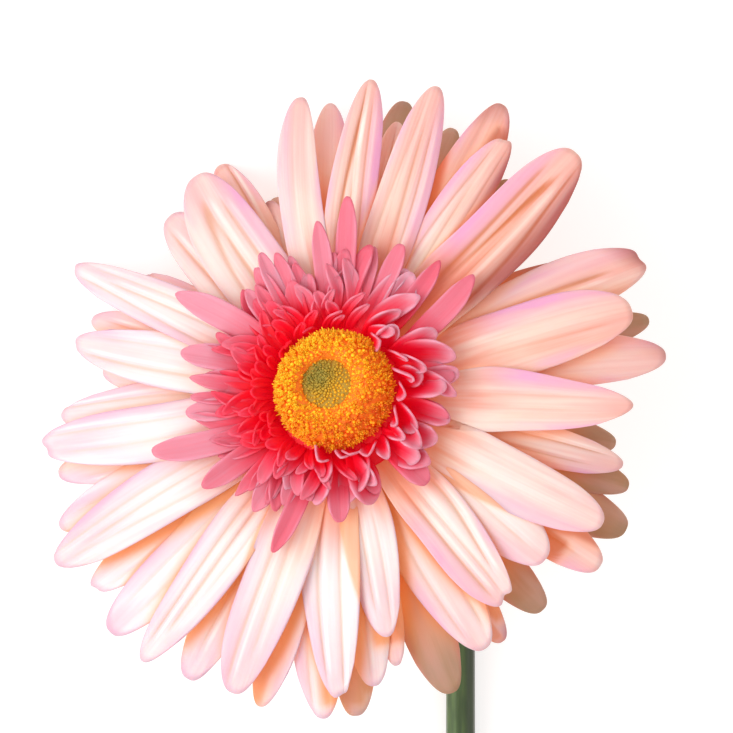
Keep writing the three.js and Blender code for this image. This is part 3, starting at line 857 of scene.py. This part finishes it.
def ray_layer(name, rays, layer, above, material, seed):
    base, across, share = grid(30, 36)
    draw = random.Random(seed)
    lifts = [LIFTS.get(facts[0], STAGGER * (-1) ** index) for index, facts in enumerate(rays)]
    parts = []
    for facts, lift in zip(rays, lifts):
        higher = [other for other, its in zip(rays, lifts) if its > lift]
        parts.append(ray(base, across, share, facts, layer, lift, above, higher, draw))
    bpy.data.objects.remove(base)
    piece = joined(parts, name)
    thickened(piece, RAY_THICKNESS)
    above_table(piece)
    dressed(piece, material, "ray_petal", "ray_florets")


# Inner florets


def tongue_outline(along, blunt):
    swell = 0.62 + 0.38 * smooth(along, 0, 0.5)
    rounding = np.clip((along - 0.62) / 0.38, 0, 1)
    return swell * np.sqrt(np.clip(1 - rounding**blunt, 0, 1))


def tongue(base, across, share, angle, facts, draw):
    """One inner floret: a cupped strap that rises from the disc's foot and bends outwards."""
    width, blunt = facts["width"], facts["blunt"] * draw.uniform(0.72, 1.25)
    along, half = rounded_end(across, share, tongue_outline, width, TONGUE_CAP, blunt)
    lift = facts["top"] - INNER_HEIGHT + facts["droop"]
    run = facts["tip"] - INNER_ROOT
    slope = np.arctan2(lift - 2 * facts["droop"] * along, run)
    cup = facts["cup"] * draw.uniform(0.5, 1.3) * (0.35 + 0.65 * smooth(along, 0.3, 0.9))
    crease = -0.16 * np.exp(-((across / 0.22) ** 2)) * smooth(along, 0, 0.3)
    spoon = facts.get("spoon", 0)
    roll = draw.uniform(-0.5, 0.5) * (1 + 0.9 * spoon)
    raised = cup * across**2 * half + crease + roll * across * half
    curl = draw.uniform(-0.3, 0.9) * smooth(along, 0.72, 1.1)
    radius = INNER_ROOT + run * along - (raised + curl) * np.sin(slope)
    height = INNER_HEIGHT + lift * along - facts["droop"] * along**2 + (raised + curl) * np.cos(slope)
    height = np.maximum(height, INNER_FLOOR + 0.2 * along)
    bent = angle + draw.uniform(-1, 1) * facts.get("stray", 12) * along**1.5
    bent = bent - SWINGS.get(angle, 0) * (1 - along)
    points = in_head(radius, across * half, height, bent)
    points += (as_seen(points) - points) * along[:, None]
    petal = petal_facts(across, along, draw)
    reach = np.clip((radius - 12.8) / 15, 0, 1) ** 0.85
    lips = np.maximum(smooth(np.abs(across), 0.3, 1) * smooth(along, 0.25, 0.7), smooth(along, 0.72, 1))
    red = zone(angle, "plain red")
    tips = (0.38 - 0.28 * red) * smooth(along, 0.5, 1) * (1 - reach)
    pale = (0.82 - 0.3 * spoon) * reach + tips + 0.4 * spoon * lips
    pale -= 0.18 * red * ("spoon" in facts)
    pale = np.clip(pale, 0, 0.58 + 0.3 * spoon * lips + 0.12 * red)
    return copy_of(base, in_world(points), petal=petal, pale=pale)


def reaching(angle, tip):
    """A floret's tip radius, longer or shorter by where it points."""
    share = 1
    for heading, spread, more in REACHES:
        turned = (angle - heading + 180) % 360 - 180
        share += more * math.exp(-((turned / spread) ** 2))
    return INNER_ROOT + (tip - INNER_ROOT) * share


def row_of_tongues(sheet, facts, row, spoon, draw):
    facts = dict(zip(ROW_FACTS, facts))
    base, across, share = sheet
    parts = []
    for index in range(facts["count"]):
        angle = (index + row * 0.37 + draw.uniform(-0.4, 0.4)) * 360 / facts["count"]
        right = zone(angle, "spoons")
        if draw.random() > (right if spoon else 1 - right):
            continue
        own = dict(
            facts,
            spoon=spoon,
            tip=reaching(angle, facts["tip"]) + draw.uniform(-1.9, 1.6),
            top=facts["top"] + draw.uniform(-1.2, 0.6),
            width=facts["width"] * draw.uniform(0.75, 1.25),
        )
        parts.append(tongue(base, across, share, angle, own, draw))
    return parts


def short_tongues(draw):
    sheet = grid(8, 14)
    parts = []
    for row, facts in enumerate(SLENDER_ROWS):
        parts += row_of_tongues(sheet, facts, row, 0, draw)
    for row, facts in enumerate(SPOON_ROWS):
        parts += row_of_tongues(sheet, facts, row, 1, draw)
    bpy.data.objects.remove(sheet[0])
    return parts


def long_tongues(draw):
    base, across, share = grid(10, 24)
    parts = []
    for angle, tip, width in LONG_INNERS:
        droop = 3.2 + draw.uniform(-0.3, 0.5)
        facts = dict(LONG_SHAPE, tip=tip, width=width, droop=droop)
        parts.append(tongue(base, across, share, angle, facts, draw))
    bpy.data.objects.remove(base)
    return parts


def collar():
    """The red ground that the inner florets grow from."""
    rings = []
    angles = np.linspace(0, 360, 72, endpoint=False)
    for radius, height in COLLAR_PROFILE:
        ripple = 0.18 * np.cos(np.radians(angles * 24)) * smooth(radius, 11, 14)
        rings.append(in_world(in_head(radius, 0, height + ripple, angles)))
    made = tube("collar", rings)
    write_attribute(made.data, "pale", 0)
    return made


def inner_florets(material):
    draw = random.Random(INNER_SEED)
    piece = joined(short_tongues(draw) + long_tongues(draw), "inner_florets_dressed")
    thickened(piece, INNER_THICKNESS)
    piece = joined([piece, collar()], "inner_florets_dressed")
    dressed(piece, material, "inner_petal", "inner_florets")


# Disc


def along_profile(profile, share):
    """The point and the outward normal of a profile at a share of its length."""
    steps = [math.dist(a, b) for a, b in zip(profile, profile[1:])]
    left = share * sum(steps)
    for a, b, step in zip(profile, profile[1:], steps):
        if left <= step:
            break
        left -= step
    t = min(left / step, 1)
    return a[0] + (b[0] - a[0]) * t, a[1] + (b[1] - a[1]) * t, (b[1] - a[1]) / step, (a[0] - b[0]) / step


def hollow_shift(radius):
    """How far the disc's middle has moved off the axis at a radius."""
    inwards = np.clip(1 - radius / DISC_RADIUS, 0, 1)
    return HOLLOW_SHIFT[0] * inwards, HOLLOW_SHIFT[1] * inwards


def open_floret():
    """A tiny trumpet with five lobes and a style standing out of it."""
    select()
    bpy.ops.mesh.primitive_cone_add(vertices=10, radius1=0.26, radius2=0.5, depth=1.4)
    floret = bpy.context.object
    bpy.ops.object.mode_set(mode="EDIT")
    mesh = bmesh.from_edit_mesh(floret.data)
    top = max(mesh.faces, key=lambda face: face.calc_center_median().z)
    bmesh.ops.inset_individual(mesh, faces=[top], thickness=0.16)
    for vert in top.verts:
        vert.co.z -= 0.45
    rim = [v for v in mesh.verts if v.co.xy.length > 0.45]
    for index, vert in enumerate(sorted(rim, key=lambda v: math.atan2(v.co.y, v.co.x))):
        lobe = index % 2 == 0
        vert.co.xy *= 1.4 if lobe else 0.75
        vert.co.z -= 0.05 if lobe else 0.3
    bmesh.update_edit_mesh(floret.data)
    bpy.ops.object.mode_set(mode="OBJECT")
    bpy.ops.mesh.primitive_cone_add(vertices=5, radius1=0.2, radius2=0.12, depth=1.2, location=(0, 0, 0.6))
    style = bpy.context.object
    bpy.ops.object.transform_apply(location=True, rotation=False, scale=False)
    return joined([floret, style], "open_floret")


def closed_bud():
    """A small rounded bud, a little taller than wide."""
    select()
    bpy.ops.mesh.primitive_uv_sphere_add(segments=7, ring_count=5, radius=0.5)
    bud = bpy.context.object
    bud.scale = (1, 1, 1.5)
    bpy.ops.object.transform_apply(location=False, rotation=False, scale=True)
    return bud


def side_light_and_shade(profile, radius, angle):
    """How red a floret of the disc is, or how yellow a bud, as painted light and shade: the florets redder
    towards the lower right, turned from the light, towards the outer foot and at the hollow's shaded edge
    on the other side; the buds yellower towards the lower right, where the hollow's wall faces the light.
    """
    right = 0.5 + 0.5 * math.cos(angle - math.radians(AWAY_FROM_LIGHT_HEADING))
    if profile is CENTRE_PROFILE:
        rim = right * radius / 3.4
    else:
        brink_shadow = float(smooth(6.6 - radius, 0, 1.4)) * (1 - right)
        rim = max(0.5 * (radius - 6) / 5 + 0.8 * right - 0.3, 0.9 * brink_shadow)
    return min(max(rim, 0), 1)


def planted(base, profile, share, degrees, size, sunk, stray, draw):
    """A copy of a floret on the disc's profile, leaning a little of its own."""
    radius, height, outward, upward = along_profile(profile, share)
    angle = math.radians(degrees)
    shift = hollow_shift(radius)
    centre = Vector((radius * math.cos(angle) + shift[0], radius * math.sin(angle) + shift[1], height))
    normal = Vector((outward * math.cos(angle), outward * math.sin(angle), upward + 0.4)).normalized()
    lean = Vector([draw.uniform(-stray, stray) for _ in range(3)])
    turn = Vector((0, 0, 1)).rotation_difference((normal + lean).normalized()).to_matrix()
    spin = Matrix.Rotation(draw.uniform(0, 6.28), 3, "Z")
    unit = corners(base)
    stretch = np.array([size, size, size * draw.uniform(0.8, 1.3)])
    points = (unit * stretch) @ np.array(turn @ spin).T + np.array(centre - normal * sunk)
    # A draw, the painted side light and shade, and the height up the floret, whose foot is painted darker
    # as shade
    facts = columns(draw.random(), side_light_and_shade(profile, radius, angle), np.clip(unit[:, 2] + 0.4, 0, 1))
    return copy_of(base, in_world(points), floret=facts)


def ground(profile):
    """The body that the florets stand on."""
    angles = np.linspace(0, 360, 48, endpoint=False)
    rings = [in_world(in_head(r, 0, w, angles) + (*hollow_shift(r), 0)) for r, w in profile]
    made = tube("ground", rings)
    # A low height share paints the ground between the florets darker, as shade
    write_attribute(made.data, "floret", np.tile([0.5, 0.3, 0.1], (len(made.data.vertices), 1)))
    return made


def florets(bases, profile, count, size, sunk, stray, draw):
    """Florets along a profile, each a golden angle on from the last."""
    parts = []
    for index in range(count):
        share = min(max((index + 0.5) / count + draw.uniform(-0.02, 0.02), 0), 0.999)
        degrees = index * GOLDEN_ANGLE + draw.uniform(-3, 3)
        base = bases[1] if draw.random() < 0.2 + 0.6 * float(smooth(share, 0.62, 0.95)) else bases[0]
        own = size * draw.uniform(0.75, 1.25) * (1 - 0.2 * float(smooth(share, 0.6, 1)))
        depth = sunk + draw.uniform(-0.18, 0.18)
        parts.append(planted(base, profile, share, degrees, own, depth, stray, draw))
    return parts


def disc(shapes):
    """The ring of florets and the buds in its hollow, from an open shape and a closed one."""
    parts = florets(shapes, DISC_PROFILE, DISC_COUNT, DISC_SIZE, 0.25, 0.45, random.Random(DISC_SEED))
    piece = joined([ground(DISC_GROUND), *parts], "disc_florets_dressed")
    dressed(piece, disc_finish(), "disc_yellow", "disc_florets")
    buds = [shapes[1], shapes[1]]
    parts = florets(buds, CENTRE_PROFILE, CENTRE_COUNT, CENTRE_SIZE, 0.3, 0.3, random.Random(DISC_SEED + 1))
    piece = joined([ground(CENTRE_GROUND), *parts], "disc_centre_dressed")
    dressed(piece, bud_finish(), "bud_green", "disc_centre")
    for shape in shapes:
        bpy.data.objects.remove(shape)


# Green parts


def cup_radius(height):
    share = min(max((height + CUP_DEPTH) / (CUP_DEPTH + CUP_RIM), 0), 1)
    return CUP_FOOT_RADIUS + (CUP_RADIUS - CUP_FOOT_RADIUS) * math.sin(share * math.pi / 2) ** 0.9


def tube(name, rings, along=0):
    """A closed skin through rings of points."""
    sides = len(rings[0])
    faces = []
    for row in range(len(rings) - 1):
        for side in range(sides):
            a, b = row * sides + side, row * sides + (side + 1) % sides
            faces.append((a, b, b + sides, a + sides))
    last = (len(rings) - 1) * sides
    faces += [tuple(range(sides - 1, -1, -1)), tuple(range(last, last + sides))]
    mesh = bpy.data.meshes.new(name)
    mesh.from_pydata(np.concatenate(rings).tolist(), [], faces)
    across = np.tile(np.abs(np.linspace(-1, 1, sides, endpoint=False)), len(rings))
    along = np.repeat(np.broadcast_to(along, len(rings)), sides)
    write_attribute(mesh, "petal", columns(across, along, 0.3))
    return placed(name, mesh)


def cup():
    outline = [(cup_radius(level) - 0.15, level) for level in CUP_LEVELS] + CUP_TOP
    angles = np.linspace(0, 360, 48, endpoint=False)
    rings = [in_world(in_head(radius, 0, height, angles)) for radius, height in outline]
    return tube("cup", rings, np.linspace(0, 0.5, len(rings)))


def scale(base, across, along, angle, foot, tip, width, draw):
    """One narrow pointed scale pressed to the cup, keeled down its middle."""
    height = foot + (tip - foot) * along
    out = np.array([cup_radius(h) for h in height]) + 0.12 + 0.75 * along**3
    half = width / 2 * np.sin(np.pi * (0.16 + 0.84 * along) ** 0.8) ** 0.8
    keel = 0.28 * (1 - np.abs(across)) * (1 - along)
    radius = out + keel - 0.06 * across**2
    points = in_world(in_head(radius, across * half, height, angle + draw.uniform(-1.5, 1.5)))
    return copy_of(base, points, petal=petal_facts(across, along, draw))


def involucre(material):
    draw = random.Random(SCALE_SEED)
    base, across, share = grid(6, 12)
    scales = []
    for row, (count, foot, tip, width) in enumerate(SCALE_ROWS):
        for index in range(count):
            angle = (index + row * 0.5) * 360 / count
            own_tip = tip + draw.uniform(-0.5, 0.2)
            scales.append(scale(base, across, share, angle, foot, own_tip, width, draw))
    bpy.data.objects.remove(base)
    leaves = joined(scales, "scales")
    thickened(leaves, SCALE_THICKNESS)
    piece = joined([cup(), leaves], "involucre_dressed")
    dressed(piece, material, "bract_green", "involucre")


def stem_route():
    """Points of the stem's centre line with its radius, from the head to the cut end."""
    start = HEAD_CENTRE - HEAD_AXIS * (CUP_DEPTH + CLEARANCE)
    land = Vector((HEAD_CENTRE.x + TOUCHDOWN[0], HEAD_CENTRE.y + TOUCHDOWN[1], STEM_RADIUS))
    end = Vector((HEAD_CENTRE.x + CUT_END[0], HEAD_CENTRE.y + CUT_END[1], CUT_END_RADIUS))
    third = (land.y - end.y) / 3
    neck = (start, start - HEAD_AXIS * NECK_REACH, land + Vector((0, LANDING_REACH, 0)), land)
    run = (land, land - Vector((0, third, 0)), end + Vector((STEM_BEND, third, 0)), end)
    route = []
    for step in range(NECK_STEPS):
        t = step / NECK_STEPS
        route.append((bezier(neck, t), NECK_RADIUS + (STEM_RADIUS - NECK_RADIUS) * t))
    for step in range(STEM_STEPS + 1):
        t = step / STEM_STEPS
        radius = STEM_RADIUS + (CUT_END_RADIUS - STEM_RADIUS) * t
        point = bezier(run, t)
        point.z = radius
        route.append((point, radius))
    return route


def bezier(points, t):
    a, b, c, d = points
    return a * (1 - t) ** 3 + b * 3 * t * (1 - t) ** 2 + c * 3 * t * t * (1 - t) + d * t**3


def ring_round(route, index, share=1, ahead=0):
    """A ring of points round the stem's route, at a share of its radius and a step ahead."""
    point, radius = route[index]
    tangent = (route[min(index + 1, len(route) - 1)][0] - route[max(index - 1, 0)][0]).normalized()
    across = Vector((0, 0, 1)).cross(tangent).normalized()
    up = tangent.cross(across).normalized()
    ring = []
    for side in range(STEM_SIDES):
        angle = (side + 0.5) * 2 * math.pi / STEM_SIDES
        rib = 1 - RIB_DEPTH + RIB_DEPTH * math.cos(RIBS * angle)
        outwards = across * math.cos(angle) + up * math.sin(angle)
        spot = point + outwards * radius * rib * share + tangent * ahead
        ring.append((spot.x * MM, spot.y * MM, max(spot.z, 0) * MM))
    return np.array(ring)


def stem(route, material):
    rings = [ring_round(route, index) for index in range(len(route))]
    piece = tube("stem_dressed", rings, np.linspace(0, 1, len(rings)))
    dressed(piece, material, "stem_green", "stem")


def pith(route, material):
    """The pale flesh that shows at the cut end, a little proud of the skin."""
    last = len(route) - 1
    rings = [ring_round(route, last, share, ahead) for share, ahead in PITH_PROFILE]
    piece = tube("pith_dressed", rings)
    dressed(piece, material, None, "stem")


# Staging


def camera():
    lens = bpy.data.cameras.new("camera")
    lens.sensor_width = 36
    lens.lens = lens.sensor_width * CAMERA_DISTANCE / FIELD_WIDTH
    lens.clip_end = 20
    held = placed("camera", lens)
    target = HEAD_CENTRE - RIGHT * HEAD_IN_FRAME[0] - UP * HEAD_IN_FRAME[1]
    turn = Matrix((RIGHT, UP, VIEW)).transposed().to_4x4()
    held.matrix_world = Matrix.Translation((target + VIEW * CAMERA_DISTANCE) * MM) @ turn
    bpy.context.scene.camera = held


def lights():
    sun = bpy.data.lights.new("key", "SUN")
    sun.energy = SUN_STRENGTH
    sun.angle = math.radians(SUN_SPREAD)
    aim = RIGHT * SUN_FROM[0] + UP * SUN_FROM[1] + VIEW * SUN_FROM[2]
    placed("key", sun).rotation_euler = aim.to_track_quat("Z", "Y").to_euler()
    world = bpy.data.worlds.new("studio")
    world.use_nodes = True
    sky = world.node_tree.nodes["Background"]
    sky.inputs["Color"].default_value = SKY
    sky.inputs["Strength"].default_value = SKY_STRENGTH
    bpy.context.scene.world = world
    bpy.context.scene.view_settings.view_transform = "Standard"


def floor():
    select()
    bpy.ops.mesh.primitive_plane_add(size=6, location=(0, 0, -TABLE_DROP))
    table = bpy.context.object
    table.name = "table"
    table.data.materials.append(table_finish())


def main():
    camera()
    lights()
    floor()
    petal = RayFinish().made()
    ray_layer("rays_front", FRONT_RAYS, FRONT, [], petal, RAY_SEED)
    ray_layer("rays_middle", MIDDLE_RAYS, MIDDLE, FRONT_RAYS, petal, RAY_SEED + 1)
    ray_layer("rays_back", BACK_RAYS, BACK, FRONT_RAYS + MIDDLE_RAYS, petal, RAY_SEED + 2)
    inner_florets(inner_finish())
    disc([open_floret(), closed_bud()])
    involucre(green_finish("bract_green", "4b6629", "768d43", "86684a", 1.5))
    route = stem_route()
    stem(route, green_finish("stem_green", "324a1e", "4e6a30", "6d6c3e", 40, 0.85))
    pith(route, cut_finish())


main()
